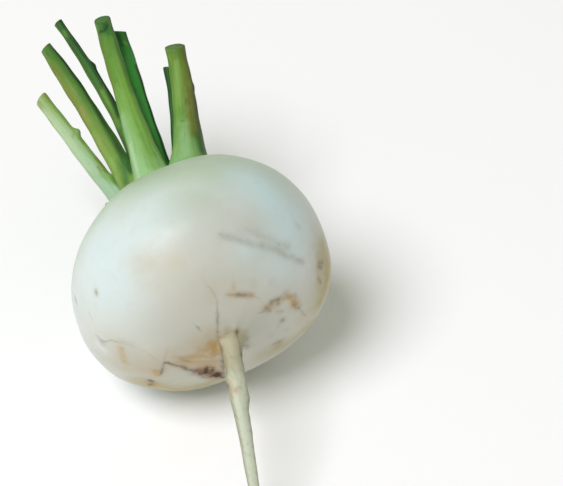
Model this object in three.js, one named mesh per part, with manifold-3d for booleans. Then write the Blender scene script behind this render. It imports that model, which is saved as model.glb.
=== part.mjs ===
// A white globe turnip with its leaves cut back to stalks, lying on its side. Millimetres, +Z up.
// The turnip is shaped in a frame of its own, with its widest circle round the origin, the crown of
// leaf stalks towards +Y and the taproot towards -Y. The last group sets it down on its flat spot.
import * as THREE from 'three';
import { mergeVertices } from 'three/addons/utils/BufferGeometryUtils.js';
import Module from 'manifold-3d';

const wasm = await Module();
wasm.setup();

// Driving dimensions of the swollen root
const GLOBE_RADIUS = 42.5; // an 85 mm turnip, measured across its widest circle
const CROWN_HEIGHT = 33.5; // widest circle up to the crown
const BASE_DEPTH = 30; // widest circle down to the taproot
const SQUARENESS = 2.2; // 2 is an ellipse, and more makes fuller shoulders
const CROWN_KNOB = { height: 3, radius: 12, steepness: 4 }; // the short stem that carries the stalks
const ROOT_SHIFT_STEEPNESS = 4; // how late the globe leans over to the taproot's foot
const ROOT_TURN = 10; // over this length the taproot turns from the globe's axis to its own line
const ROOT_FLARE = { radius: 1.8, length: 2 }; // how the taproot spreads into the globe
const ROOT_TIP = { share: 0.8, length: 0.2 }; // radius and length of the rounded end of its tip

// How it lies: the crown end is raised a little, and the side below its weight is flat
const CROWN_RAISE = THREE.MathUtils.degToRad(6);
const CENTRE_HEIGHT = 41.2; // middle of the globe above the surface
const CENTRE_BACK = -3; // middle of the globe behind the flat spot

// Low swellings and hollows of the skin: where they face, their height and how far they spread
const SWELLINGS = [
  { facing: [-0.88, -0.2, -0.42], height: 0.95, spread: 0.45 },
  { facing: [0.88, -0.44, -0.25], height: 0.95, spread: 0.4 },
  { facing: [0.15, -0.65, -0.74], height: -1.25, spread: 0.4 },
  { facing: [-0.8, 0.46, 0.36], height: -0.55, spread: 0.28 },
  { facing: [0.95, -0.1, 0.3], height: -0.5, spread: 0.28 },
  { facing: [0.45, 0.5, 0.74], height: 0.5, spread: 0.35 },
  { facing: [-0.1, 0.62, 0.78], height: -0.55, spread: 0.25 },
];

// The taproot's line from the globe to its tip, and its radius at distances along that line
const TAPROOT_LINE = [
  [-1.5, -30, 3], [-3.2, -36, 2.8], [-5.3, -44.5, 1.9], [-7, -53, -0.9], [-8.3, -61, -5.3],
  [-9.7, -69, -10.5], [-11.3, -81, -19], [-11.5, -92, -25.8], [-9.5, -102, -29.6],
];
const TAPROOT_RADII = [
  [0, 3.4], [8, 2.8], [15, 3.1], [21, 2.9], [27, 2.35], [36, 1.95], [42, 1.9], [60, 1.3], [82, 0.45],
];

// The leaf stalks, the nearest first: foot, pull and tip of each one's bowed line, its width at
// the same three, and how far its cut end slopes and towards which side. A knuckle is the stub of a
// small leaflet: how far along the stalk and on which side it sits, and its height. Sides are in
// degrees round the stalk, with 90 facing out of the rosette. The last three stalks are short ones
// low at the back.
const STALKS = [
  { foot: [-4.2, 31, 10.4], pull: [-3.6, 63.5, 19.3], tip: [0.4, 98.6, 24.8],
    width: [11, 5.5, 5.8], cut: [54, 82], knuckles: [] },
  { foot: [7.1, 31, 9.4], pull: [15.8, 55.5, 15.7], tip: [20.6, 83, 19.7],
    width: [14.4, 6.6, 7.6], cut: [46, 128], knuckles: [{ along: 0.68, side: 42, height: 0.4 }] },
  { foot: [-9.4, 31, 5.9], pull: [-12.6, 65.5, 13], tip: [-19.8, 99, 17.5],
    width: [7, 8.7, 4.8], cut: [20, 90], knuckles: [] },
  { foot: [-11.2, 31, -1.2], pull: [-18.3, 58.5, 3.5], tip: [-26, 85.2, 8.5],
    width: [6.1, 8.2, 5.6], cut: [15, 90], knuckles: [
      { along: 0.67, side: -65, height: 1.5 }, { along: 0.3, side: -60, height: 0.8 }] },
  { foot: [1.1, 34, 2.7], pull: [3.8, 67.5, 8.7], tip: [6.5, 100, 15.5],
    width: [6.5, 6.2, 5.2], cut: [35, 90], knuckles: [] },
  { foot: [-3.4, 34, 2.3], pull: [-4.1, 69, 13.5], tip: [-13.2, 105.3, 21.5],
    width: [6.9, 3.6, 3.2], cut: [10, 90], knuckles: [{ along: 0.72, side: -38, height: 0.7 }] },
  { foot: [4, 34, 2.6], pull: [13.2, 56.5, 7.8], tip: [17, 80, 13],
    width: [6, 4.4, 3.3], cut: [12, 90], knuckles: [] },
  { foot: [11, 31, -3], pull: [16.5, 45, -7], tip: [20.5, 57, -12],
    width: [8, 7, 6.4], cut: [25, 90], knuckles: [] },
  { foot: [3, 31, -11], pull: [4, 47, -17], tip: [5, 63, -26],
    width: [8.6, 7.2, 6.6], cut: [20, 90], knuckles: [] },
  { foot: [-6, 31, -9], pull: [-9, 45, -14], tip: [-12, 56, -22],
    width: [6.4, 6.2, 5.4], cut: [18, 90], knuckles: [] },
];
const FOOT_SPREAD = 6; // how much wider a stalk is where it clasps the crown
const FOOT_SPREAD_REACH = 7; // and over what length that dies away
const STALK_DEPTH = 0.82; // thickness of a stalk as a share of its width
const FOOT_THINNING = 0.22; // what the spread foot lacks of that share
const OUTER_SHARE = 0.6; // how much of the thickness lies outside the stalk's line
const CHANNEL_DEPTH = 0.2; // depth of the channel on its inner face, as a share of its width
const CHANNEL_SPREAD = 0.5; // and its half width, as a share of the stalk's half width
const CHANNEL_FADES_FROM = 0.6; // share of a stalk's length where it starts to die away to the cut
const KNUCKLE = { length: 1.6, steepness: 3 }; // half length of a knuckle, and how narrow it is
const CUT_LEAN_FROM = 0.8; // share of a stalk's length where it starts to lean into its slanting cut
const JOINT_GAP = 0.3; // between a stalk and what it grows from or leans on
const SLAB = { size: 60, height: 10 }; // levels the flat spot

// How finely the shapes are cut into faces. Rows crowd together towards the taproot's tip and the
// stalks' feet, and stand at these millimetres before and after the middle of a knuckle.
const GLOBE_SIDES = 40;
const GLOBE_ROWS = 24;
const TAPROOT_ROWS = 20;
const TAPROOT_CROWDING = 1.5;
const STALK_SIDES = 14;
const STALK_ROWS = 9;
const STALK_CROWDING = 1.3;
const KNUCKLE_ROWS = [-3, -1.2, 0, 1.2, 3];

const skin = new THREE.MeshStandardMaterial({ color: 0xe3e8dd, roughness: 0.42, metalness: 0 });
const stalkGreen = new THREE.MeshStandardMaterial({ color: 0x6fa34f, roughness: 0.48, metalness: 0 });

// Smooth value at x in a table of [x, value] pairs
function valueAt(table, x) {
  const last = table.length - 1;
  if (x <= table[0][0]) return table[0][1];
  if (x >= table[last][0]) return table[last][1];
  const i = table.findIndex((pair) => pair[0] > x) - 1;
  const t = (x - table[i][0]) / (table[i + 1][0] - table[i][0]);
  return THREE.MathUtils.lerp(table[i][1], table[i + 1][1], t * t * (3 - 2 * t));
}

// A geometry as a closed solid, and a solid as a geometry
function solidOf(geometry) {
  const bare = new THREE.BufferGeometry();
  bare.setAttribute('position', geometry.getAttribute('position'));
  if (geometry.index) bare.setIndex(geometry.index);
  const merged = mergeVertices(bare, 1e-4);
  const triVerts = [];
  for (let i = 0; i < merged.index.count; i += 3) {
    const [a, b, c] = [0, 1, 2].map((k) => merged.index.getX(i + k));
    if (a !== b && b !== c && c !== a) triVerts.push(a, b, c);
  }
  return new wasm.Manifold(new wasm.Mesh({
    numProp: 3,
    vertProperties: merged.attributes.position.array,
    triVerts: new Uint32Array(triVerts),
  }));
}

function geometryOf(solid) {
  const mesh = solid.getMesh();
  const position = new Float32Array(mesh.numVert * 3);
  for (let i = 0; i < mesh.numVert; i++) {
    position.set(mesh.vertProperties.subarray(i * mesh.numProp, i * mesh.numProp + 3), i * 3);
  }
  const geometry = new THREE.BufferGeometry();
  geometry.setAttribute('position', new THREE.BufferAttribute(position, 3));
  geometry.setIndex(new THREE.BufferAttribute(mesh.triVerts, 1));
  geometry.computeVertexNormals();
  return geometry;
}

// The largest of the bodies that a cut leaves
function mainBody(solid) {
  return solid.decompose().reduce((best, body) => (body.volume() > best.volume() ? body : best));
}

// Applies move(x, y, z) to every point of a geometry
function bend(geometry, move) {
  const position = geometry.getAttribute('position');
  for (let i = 0; i < position.count; i++) {
    const p = move(position.getX(i), position.getY(i), position.getZ(i));
    position.setXYZ(i, p.x, p.y, p.z);
  }
  return geometry;
}

// Outline of the globe: radius and height above the widest circle at an angle from the crown
function globePoint(angle) {
  const c = Math.cos(angle);
  const s = Math.sin(angle);
  const reach = (Math.abs(c) ** SQUARENESS + Math.abs(s) ** SQUARENESS) ** (-1 / SQUARENESS);
  const radius = GLOBE_RADIUS * s * reach;
  if (c <= 0) return new THREE.Vector2(radius, BASE_DEPTH * c * reach);
  const knob = CROWN_KNOB.height * Math.exp(-((radius / CROWN_KNOB.radius) ** CROWN_KNOB.steepness));
  return new THREE.Vector2(radius, CROWN_HEIGHT * c * reach + knob);
}

// The angle where the globe has narrowed to the flared foot of the taproot
const footRadius = TAPROOT_RADII[0][1] + ROOT_FLARE.radius;
const footAngle = Math.PI - Math.atan(footRadius / GLOBE_RADIUS);
const footPoint = globePoint(footAngle);
const taprootLine = new THREE.CatmullRomCurve3(
  TAPROOT_LINE.map((p) => new THREE.Vector3(...p)), false, 'catmullrom', 0.5,
);
const taprootLength = taprootLine.getLength();
const rootShift = new THREE.Vector3(TAPROOT_LINE[0][0], 0, TAPROOT_LINE[0][2]); // off the axis

function taprootRadius(distance) {
  return valueAt(TAPROOT_RADII, distance) + ROOT_FLARE.radius * Math.exp(-distance / ROOT_FLARE.length);
}

// Height of the swellings and hollows in the direction of a point
const swellings = SWELLINGS.map((s) => ({ ...s, facing: new THREE.Vector3(...s.facing).normalize() }));
function swelling(direction) {
  return swellings.reduce((sum, s) => {
    const away = direction.angleTo(s.facing) / s.spread;
    return sum + s.height * Math.exp(-away * away);
  }, 0);
}

// The globe and its taproot are one body: a turned outline, whose last stretch follows the taproot's
// line and whose skin is raised by the swellings. Grown adds to it all round.
function rootBody(grown = 0) {
  const tip = footPoint.y - taprootLength;
  const outline = [
    new THREE.Vector2(0, tip),
    new THREE.Vector2(taprootRadius(taprootLength) * ROOT_TIP.share + grown, tip + ROOT_TIP.length),
  ];
  for (let i = 1; i <= TAPROOT_ROWS; i++) {
    const distance = taprootLength * (1 - i / TAPROOT_ROWS) ** TAPROOT_CROWDING;
    outline.push(new THREE.Vector2(taprootRadius(distance) + grown, footPoint.y - distance));
  }
  for (let i = 1; i <= GLOBE_ROWS; i++) {
    const p = globePoint(footAngle * (1 - i / GLOBE_ROWS));
    const across = new THREE.Vector2(p.x / GLOBE_RADIUS ** 2, p.y / CROWN_HEIGHT ** 2).normalize();
    outline.push(p.addScaledVector(across, grown));
  }
  outline[outline.length - 1].x = 0;
  return bend(new THREE.LatheGeometry(outline, GLOBE_SIDES), (x, y, z) => {
    const lean = THREE.MathUtils.clamp(y / footPoint.y, 0, 1) ** ROOT_SHIFT_STEEPNESS;
    const shift = rootShift.clone().multiplyScalar(lean);
    if (y > footPoint.y - 1e-6) {
      const p = new THREE.Vector3(x, y, z);
      return p.addScaledVector(p.clone().normalize(), swelling(p.clone().normalize())).add(shift);
    }
    const along = Math.min((footPoint.y - y) / taprootLength, 1);
    const turned = THREE.MathUtils.smoothstep(footPoint.y - y, 0, ROOT_TURN);
    const tangent = new THREE.Vector3(0, -1, 0).lerp(taprootLine.getTangentAt(along), turned).normalize();
    const side = new THREE.Vector3(1, 0, 0).addScaledVector(tangent, -tangent.x).normalize();
    const rise = new THREE.Vector3().crossVectors(tangent, side);
    const swollen = swelling(new THREE.Vector3(x, y, z).normalize()) * Math.exp(y - footPoint.y);
    return taprootLine.getPointAt(along)
      .add(new THREE.Vector3(0, footPoint.y - TAPROOT_LINE[0][1], 0))
      .addScaledVector(side, x).addScaledVector(rise, z)
      .addScaledVector(new THREE.Vector3(0, -1, 0), swollen);
  });
}

// A stalk: a turned rod whose section is round outside and channelled inside, swept along a bowed
// line and widened where it clasps the crown. Grown adds to it all round.
function stalkBody(stalk, grown = 0) {
  const ends = [stalk.foot, stalk.pull, stalk.tip].map((p) => new THREE.Vector3(...p));
  const line = new THREE.QuadraticBezierCurve3(...ends);
  const length = line.getLength();
  const outwards = new THREE.Vector3(stalk.foot[0], 0, stalk.foot[2]).normalize();
  const rows = Array.from({ length: STALK_ROWS + 1 }, (_, i) => (i / STALK_ROWS) ** STALK_CROWDING);
  const knuckleRows = stalk.knuckles.flatMap((k) => KNUCKLE_ROWS.map((mm) => k.along + mm / length));
  const stations = [...rows, ...knuckleRows].sort((a, b) => a - b);
  const rod = new THREE.CylinderGeometry(1, 1, 1, STALK_SIDES, stations.length - 1);
  return bend(rod, (x, y, z) => {
    const along = stations[Math.round((y + 0.5) * (stations.length - 1))];
    const tangent = line.getTangentAt(along);
    const out = outwards.clone().addScaledVector(tangent, -outwards.dot(tangent)).normalize();
    const side = new THREE.Vector3().crossVectors(tangent, out);
    const spread = Math.exp(-along * length / FOOT_SPREAD_REACH);
    const [foot, middle, tip] = stalk.width;
    const bare = (1 - along) ** 2 * foot + 2 * along * (1 - along) * middle + along ** 2 * tip;
    const width = bare + FOOT_SPREAD * spread;
    const depth = width * (STALK_DEPTH - FOOT_THINNING * spread);
    const swell = stalk.knuckles.reduce((sum, k) => {
      const turn = Math.cos(Math.atan2(z, x) - THREE.MathUtils.degToRad(k.side));
      const near = Math.exp(-(((along - k.along) * length / KNUCKLE.length) ** 2));
      return sum + k.height * near * Math.max(turn, 0) ** KNUCKLE.steepness;
    }, 0);
    const fading = THREE.MathUtils.smoothstep(along, CHANNEL_FADES_FROM, 1);
    const channelDepth = CHANNEL_DEPTH * width * (1 - fading);
    const channel = channelDepth * Math.exp(-((x / CHANNEL_SPREAD) ** 2)) * Math.max(-z, 0);
    const across = x * (width / 2 + grown + swell);
    const half = depth * (z > 0 ? OUTER_SHARE : 1 - OUTER_SHARE) + grown + swell;
    const up = z * half + channel * Math.hypot(x, z);
    const [slope, fallSide] = stalk.cut.map(THREE.MathUtils.degToRad);
    const fall = Math.tan(slope) * (across * Math.cos(fallSide) + up * Math.sin(fallSide));
    const lean = fall * THREE.MathUtils.smoothstep(along, CUT_LEAN_FROM, 1);
    return line.getPointAt(along)
      .addScaledVector(side, across).addScaledVector(out, up)
      .addScaledVector(tangent, (along > CUT_LEAN_FROM ? grown : 0) - lean);
  });
}

// Where the turnip lies, as one matrix
const lying = new THREE.Group();
lying.rotation.x = CROWN_RAISE;
lying.position.set(0, CENTRE_BACK, CENTRE_HEIGHT);
lying.updateMatrix();

// The flat spot is where a level slab takes off the lowest skin
const slab = new THREE.BoxGeometry(SLAB.size, SLAB.size, SLAB.height)
  .translate(0, 0, -SLAB.height / 2)
  .applyMatrix4(lying.matrix.clone().invert());
const root = new THREE.Mesh(geometryOf(solidOf(rootBody()).subtract(solidOf(slab))), skin);
root.name = 'turnip_root';
lying.add(root);

// Each stalk stops just short of the crown, and of the stalks placed before it
const rootWithGap = solidOf(rootBody(JOINT_GAP));
const placed = [];
STALKS.forEach((stalk, i) => {
  const solid = [rootWithGap, ...placed].reduce(
    (left, neighbour) => left.subtract(neighbour), solidOf(stalkBody(stalk)),
  );
  placed.push(solidOf(stalkBody(stalk, JOINT_GAP)));
  const mesh = new THREE.Mesh(geometryOf(mainBody(solid)), stalkGreen);
  mesh.name = `leaf_stalk_${i + 1}`;
  lying.add(mesh);
});

const turnip = new THREE.Group();
turnip.add(lying);
export default turnip;
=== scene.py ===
import math

import bpy
import numpy as np
from mathutils import Matrix, Vector
from mathutils.bvhtree import BVHTree


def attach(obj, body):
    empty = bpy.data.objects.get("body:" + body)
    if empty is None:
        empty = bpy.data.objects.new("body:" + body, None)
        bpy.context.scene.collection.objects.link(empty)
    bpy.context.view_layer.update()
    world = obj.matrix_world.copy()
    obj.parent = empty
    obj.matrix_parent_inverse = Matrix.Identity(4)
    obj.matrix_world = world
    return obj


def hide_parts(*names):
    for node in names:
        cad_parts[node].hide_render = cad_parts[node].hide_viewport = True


# A white turnip lying on its side, its leaves cut back to stalks. Shapes are worked out in
# millimetres in the turnip's own frame: its widest circle round the origin, the crown of stalks
# towards +Y and the taproot towards -Y. layDown then sets them down in the part's frame.
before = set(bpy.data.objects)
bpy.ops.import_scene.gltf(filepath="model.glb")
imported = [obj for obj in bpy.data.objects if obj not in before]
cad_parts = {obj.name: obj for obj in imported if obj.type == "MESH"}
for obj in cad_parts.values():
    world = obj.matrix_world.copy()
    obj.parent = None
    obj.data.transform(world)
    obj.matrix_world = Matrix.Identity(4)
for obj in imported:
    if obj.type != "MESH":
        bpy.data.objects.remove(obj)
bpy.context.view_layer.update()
mm = 0.001
print("frame loaded:", sorted(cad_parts))

# how it lies: degrees that the crown end is raised, and where the globe's middle is
lie = {"crownRaise": 6, "centreBack": -3, "centreHeight": 41.2}

# the photo's camera: where it stands round and above the turnip, how far off, its focal length in
# pixels, the photo's size and the pixel that the globe's middle falls on
shot = {
    "azimuth": -22, "elevation": 45, "distance": 750, "focalPixels": 2315,
    "size": (563, 486), "middlePixel": (202.3, 277.6), "sensor": 36, "clipStart": 0.01,
}

sinRaise = math.sin(math.radians(lie["crownRaise"]))
cosRaise = math.cos(math.radians(lie["crownRaise"]))
globeMiddle = np.array([0, lie["centreBack"], lie["centreHeight"]])


def layDown(points):
    # tips points about X, lifts them onto the surface and makes them metres
    x, y, z = np.moveaxis(np.asarray(points, float), -1, 0)
    return (np.stack([x, y * cosRaise - z * sinRaise, y * sinRaise + z * cosRaise], -1) + globeMiddle) * mm


def unit(vectors):
    return vectors / np.maximum(np.linalg.norm(vectors, axis=-1, keepdims=True), 1e-12)


def smoothStep(x, low, high):
    t = np.clip((x - low) / (high - low), 0, 1)
    return t * t * (3 - 2 * t)


def bell(x, reach):
    return np.exp(-(x / reach) ** 2)


def addObject(name, data):
    made = bpy.data.objects.new(name, data)
    bpy.context.collection.objects.link(made)
    return made


# a level camera that looks at the turnip
pan, tilt = math.radians(shot["azimuth"]), math.radians(shot["elevation"])
cameraRight = np.array([math.cos(pan), math.sin(pan), 0])
cameraBack = np.array([math.sin(pan) * math.cos(tilt), -math.cos(pan) * math.cos(tilt), math.sin(tilt)])
cameraUp = np.cross(cameraBack, cameraRight)
pixelSize = shot["distance"] / shot["focalPixels"]
offMiddle = [(shot["middlePixel"][i] - shot["size"][i] / 2) * pixelSize for i in (0, 1)]
cameraPlace = (globeMiddle + cameraBack * shot["distance"]
               - cameraRight * offMiddle[0] + cameraUp * offMiddle[1]) * mm

cameraData = bpy.data.cameras.new("photo_camera")
cameraData.sensor_width = shot["sensor"]
cameraData.lens = shot["sensor"] * shot["focalPixels"] / shot["size"][0]
cameraData.clip_start = shot["clipStart"]
camera = addObject("photo_camera", cameraData)
turned = Matrix([cameraRight, cameraUp, cameraBack]).transposed().to_4x4()
camera.matrix_world = Matrix.Translation(Vector(cameraPlace)) @ turned
bpy.context.scene.camera = camera
print("camera placed")


# shader nodes
def operators(name):
    # a Wire's operator, and the one for a Wire that comes second
    return (lambda wire, other: wire.math(name, wire, other),
            lambda wire, other: wire.math(name, other, wire))


class Wire:
    # a socket's value: each operator adds the Math node that works it out
    __add__, __radd__ = operators("ADD")
    __sub__, __rsub__ = operators("SUBTRACT")
    __mul__, __rmul__ = operators("MULTIPLY")
    __truediv__, __rtruediv__ = operators("DIVIDE")

    def __init__(self, finish, socket):
        self.finish, self.socket = finish, socket

    def math(self, operation, *values):
        made = self.finish.node("ShaderNodeMath", {"operation": operation}, dict(enumerate(values)))
        return Wire(self.finish, made.outputs[0])

    def __abs__(self):
        return self.math("ABSOLUTE", self)

    def ramp(self, low, high):
        # 0 below low and 1 above high, smooth between
        made = self.finish.node("ShaderNodeMapRange", {"interpolation_type": "SMOOTHSTEP"},
                                {0: self, 1: low, 2: high})
        return Wire(self.finish, made.outputs[0])


class Finish:
    # a material under way: node adds any node, the other methods the ones used most
    def __init__(self, name):
        self.material = bpy.data.materials.new(name)
        self.material.use_nodes = True
        self.tree = self.material.node_tree
        self.tree.nodes.clear()

    def node(self, kind, settings=None, values=None):
        made = self.tree.nodes.new(kind)
        for key, value in (settings or {}).items():
            setattr(made, key, value)
        for key, value in (values or {}).items():
            if isinstance(value, Wire):
                self.tree.links.new(value.socket, made.inputs[key])
            else:
                made.inputs[key].default_value = value
        return made

    def attribute(self, name):
        # a vector kept with the mesh, whole and as its three parts
        made = self.node("ShaderNodeAttribute", {"attribute_name": name})
        parts = self.node("ShaderNodeSeparateXYZ", {}, {0: Wire(self, made.outputs["Vector"])})
        return Wire(self, made.outputs["Vector"]), [Wire(self, out) for out in parts.outputs]

    def scaled(self, vector, *factors):
        made = self.node("ShaderNodeVectorMath", {"operation": "MULTIPLY"}, {0: vector, 1: factors})
        return Wire(self, made.outputs[0])

    def noise(self, vector, scale, detail=3, roughness=0.55):
        made = self.node("ShaderNodeTexNoise", {}, {
            "Vector": vector, "Scale": scale, "Detail": detail, "Roughness": roughness})
        return Wire(self, made.outputs[0])

    def cells(self, vector, scale):
        made = self.node("ShaderNodeTexVoronoi", {}, {"Vector": vector, "Scale": scale})
        return Wire(self, made.outputs["Distance"])

    def blend(self, share, first, second, how="MIX"):
        made = self.node("ShaderNodeMix", {"data_type": "RGBA", "blend_type": how},
                         {0: share, 6: first, 7: second})
        return Wire(self, made.outputs[2])

    def layered(self, colour, tones, *layers):
        # a colour with named tones laid over it, each by its share
        for share, tone in layers:
            colour = self.blend(share, colour, tones[tone])
        return colour

    def bump(self, height, distance, strength, under=None):
        values = {"Height": height, "Distance": distance, "Strength": strength}
        if under is not None:
            values["Normal"] = under
        return Wire(self, self.node("ShaderNodeBump", {}, values).outputs[0])

    def close(self, settings):
        shader = self.node("ShaderNodeBsdfPrincipled", {}, settings)
        self.node("ShaderNodeOutputMaterial", {}, {"Surface": Wire(self, shader.outputs[0])})
        return self.material


def tint(red, green, blue):
    # a colour from screen values of 0 to 255
    linear = [(c / 255 / 12.92 if c < 10.3 else ((c / 255 + 0.055) / 1.055) ** 2.4)
              for c in (red, green, blue)]
    return (*linear, 1)


def tints(tones):
    return {name: tint(*tone) for name, tone in tones.items()}


# meshes
def gridFaces(rings):
    # quads that join each ring of points to the next, after the first pole
    count, around = rings.shape[:2]
    here = 1 + np.arange(count * around).reshape(count, around)
    beside = np.roll(here, -1, axis=1)
    return np.stack([here[:-1], beside[:-1], beside[1:], here[1:]], -1).reshape(-1, 4)


def withPoles(rings, poles=None):
    # the rings' points between the poles, or between the end rings' means
    first, last = poles if poles else (rings[0].mean(0), rings[-1].mean(0))
    return np.vstack([first, rings.reshape(-1, rings.shape[-1]), last])


def tubeObject(name, rings, poles, attributes, material):
    # a closed surface: quads between the rings, and a fan of triangles from each end to its
    # pole; attributes are one vector a point, poles included
    points = withPoles(rings, poles)
    quads = gridFaces(rings)
    first = 1 + np.arange(rings.shape[1])
    last = first + len(points) - 2 - len(first)
    fans = np.concatenate([
        np.stack([np.zeros_like(first), np.roll(first, -1), first], -1),
        np.stack([np.full_like(last, len(points) - 1), last, np.roll(last, -1)], -1)])
    corner = points[quads]
    normal = np.cross(corner[:, 1] - corner[:, 0], corner[:, 3] - corner[:, 0])
    if (normal * (corner.mean(1) - points.mean(0))).sum() < 0:
        quads, fans = quads[:, ::-1], fans[:, ::-1]
    mesh = bpy.data.meshes.new(name)
    mesh.from_pydata(layDown(points).tolist(), [], quads.tolist() + fans.tolist())
    mesh.polygons.foreach_set("use_smooth", np.ones(len(mesh.polygons), bool))
    for key, value in attributes.items():
        layer = mesh.attributes.new(key, "FLOAT_VECTOR", "POINT")
        layer.data.foreach_set("vector", np.asarray(value, np.float32).ravel())
    mesh.materials.append(material)
    mesh.update()
    piece = addObject(name, mesh)
    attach(piece, "root")
    return piece


def curveThrough(points, shares, steps=60):
    # a Catmull-Rom curve whose ends are mirrored, at the given shares of its length
    p = np.array(points, float)
    p = np.vstack([2 * p[0] - p[1], p, 2 * p[-1] - p[-2]])
    t = np.linspace(0, 1, steps, endpoint=False)[:, None]
    parts = [0.5 * (2 * b + (c - a) * t + (2 * a - 5 * b + 4 * c - d) * t ** 2
                    + (3 * b - a - 3 * c + d) * t ** 3)
             for a, b, c, d in zip(p, p[1:], p[2:], p[3:])]
    return evenly(np.vstack(parts + [p[-2:-1]]), shares)


def evenly(fine, shares):
    # the points at the given shares of a fine polyline's length, and that length
    walked = np.concatenate([[0], np.cumsum(np.linalg.norm(np.diff(fine, axis=0), axis=1))])
    at = shares * walked[-1]
    return np.stack([np.interp(at, walked, fine[:, i]) for i in range(3)], -1), walked[-1]


# the swollen root: the same globe, swellings and taproot as the solid, with finer relief
globe = {
    "radius": 42.5, "crownHeight": 33.5, "baseDepth": 30, "squareness": 2.2,
    "knobHeight": 3, "knobRadius": 12, "around": 360, "rows": 178,
    "swellings": [  # facing, height, spread
        ((-0.88, -0.2, -0.42), 0.95, 0.45), ((0.88, -0.44, -0.25), 0.95, 0.4),
        ((0.15, -0.65, -0.74), -1.25, 0.4), ((-0.8, 0.46, 0.36), -0.55, 0.28),
        ((0.95, -0.1, 0.3), -0.5, 0.28), ((0.45, 0.5, 0.74), 0.5, 0.35),
        ((-0.1, 0.62, 0.78), -0.55, 0.25)],
    "wobble": 0.12, "wobbleWaves": {"size": 16, "count": 14, "seed": 3},  # its skin's low undulations
    "scars": [(15.5, 0.3), (18.4, 0.25), (21.8, 0.18)],  # leaf scars: distance from the axis, depth
    "scarWidth": 0.35, "furrowDepth": 0.16, "furrowMiddle": 7.5, "furrowReach": 3.5,
    "crownRise": 0.05,  # of the pole above its first ring
}
taproot = {
    "line": [(-1.5, -30, 3), (-3.2, -36, 2.8), (-5.3, -44.5, 1.9), (-7, -53, -0.9), (-8.3, -61, -5.3),
             (-9.7, -69, -10.5), (-11.3, -81, -19), (-11.5, -92, -25.8), (-9.5, -102, -29.6)],
    # radii at distances along it, run together over the smoothing's length
    "radii": [(0, 3.4), (8, 2.8), (15, 3.1), (21, 2.9), (27, 2.35), (36, 1.95), (42, 1.9), (60, 1.3),
              (82, 0.45)],
    "smoothing": 2.2, "margin": 6, "tipShare": 0.6, "tipLength": 0.3,
    "flare": 1.8, "flareLength": 2, "turn": 10, "rows": 92, "gnarledFrom": 8,
    "gnarls": [(0.035, 2, 0.13, 0), (0.02, 3, -0.21, 1)],  # height, waves round it and along, start
    # knots and dents: distance along it, degrees round it from its upper side, height, half length
    "knots": [(20.3, 90, 0.45, 2), (24.5, 90, -0.25, 1.5), (16.6, -80, -0.3, 0.9), (19.5, -80, 0.15, 2),
              (31, 60, 0.15, 1.6), (9.5, 80, 0.2, 1.5), (6.5, 0, -0.12, 0.7),
              (13.6, -80, 0.45, 1.3), (13.5, 90, 0.2, 3)],
}
turn = np.linspace(0, 2 * np.pi, globe["around"], endpoint=False)
circle = np.stack([np.sin(turn), np.zeros_like(turn), np.cos(turn)], -1)
footRadius = taproot["radii"][0][1] + taproot["flare"]


def globeOutline(angle):
    # a squared ellipse's radius and height at an angle from the crown, with the knob on top
    c, s = np.cos(angle), np.sin(angle)
    n = globe["squareness"]
    reach = (np.abs(c) ** n + np.abs(s) ** n) ** (-1 / n)
    radius = globe["radius"] * s * reach
    knob = np.where(c > 0, globe["knobHeight"] * np.exp(-(radius / globe["knobRadius"]) ** 4), 0)
    return radius, np.where(c > 0, globe["crownHeight"], globe["baseDepth"]) * c * reach + knob


def swelling(directions):
    # bells that fall off with the angle from where each swelling faces
    total = np.zeros(directions.shape[:-1])
    for facing, height, spread in globe["swellings"]:
        total += height * bell(np.arccos(np.clip(directions @ unit(np.array(facing)), -1, 1)), spread)
    return total


def waves(points, size, count, seed):
    # soft random relief, about -1 to 1: a sum of plane waves with lengths about size
    draw = np.random.default_rng(seed)
    total = np.zeros(points.shape[:-1])
    for _ in range(count):
        way = unit(draw.normal(size=3)) * 2 * np.pi / (size * draw.uniform(0.7, 1.5))
        total += np.sin(points @ way + draw.uniform(0, 2 * np.pi))
    return total / math.sqrt(count)


def globeRings():
    # rings from the crown down to the taproot's foot, how much narrower each is than the foot,
    # and the foot's height; the rings shift to where the taproot stands
    footAngle = math.pi - math.atan2(footRadius / globe["radius"], 1)
    radius, height = globeOutline(np.linspace(0, footAngle, globe["rows"] + 1)[1:])
    rings = circle[None] * radius[:, None, None]
    rings[..., 1] = height[:, None]
    facing = unit(rings)
    relief = swelling(facing) + globe["wobble"] * waves(rings, **globe["wobbleWaves"])
    rings = rings + facing * relief[..., None]
    shift = np.clip(height / height[-1], 0, 1) ** 4
    footX, _, footZ = taproot["line"][0]
    rings += shift[:, None, None] * np.array([footX, 0, footZ])

    # leaf scars ring the crown, wavering and broken, and furrows run in to the taproot
    wavering = radius[:, None] + 0.5 * np.sin(turn * 3 + 1)
    scars = sum(bell(wavering - at, globe["scarWidth"]) * depth for at, depth in globe["scars"])
    scars = scars * (height > 0)[:, None] * (0.6 + 0.4 * np.sin(turn * 5 + 2))
    near = bell(radius - globe["furrowMiddle"], globe["furrowReach"]) * (height < 0)
    furrows = globe["furrowDepth"] * np.sin(turn * 9 + 1.3 * np.sin(turn * 2)) * near[:, None]
    return rings + facing * (furrows - scars)[..., None], footRadius - radius, height[-1]


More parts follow.
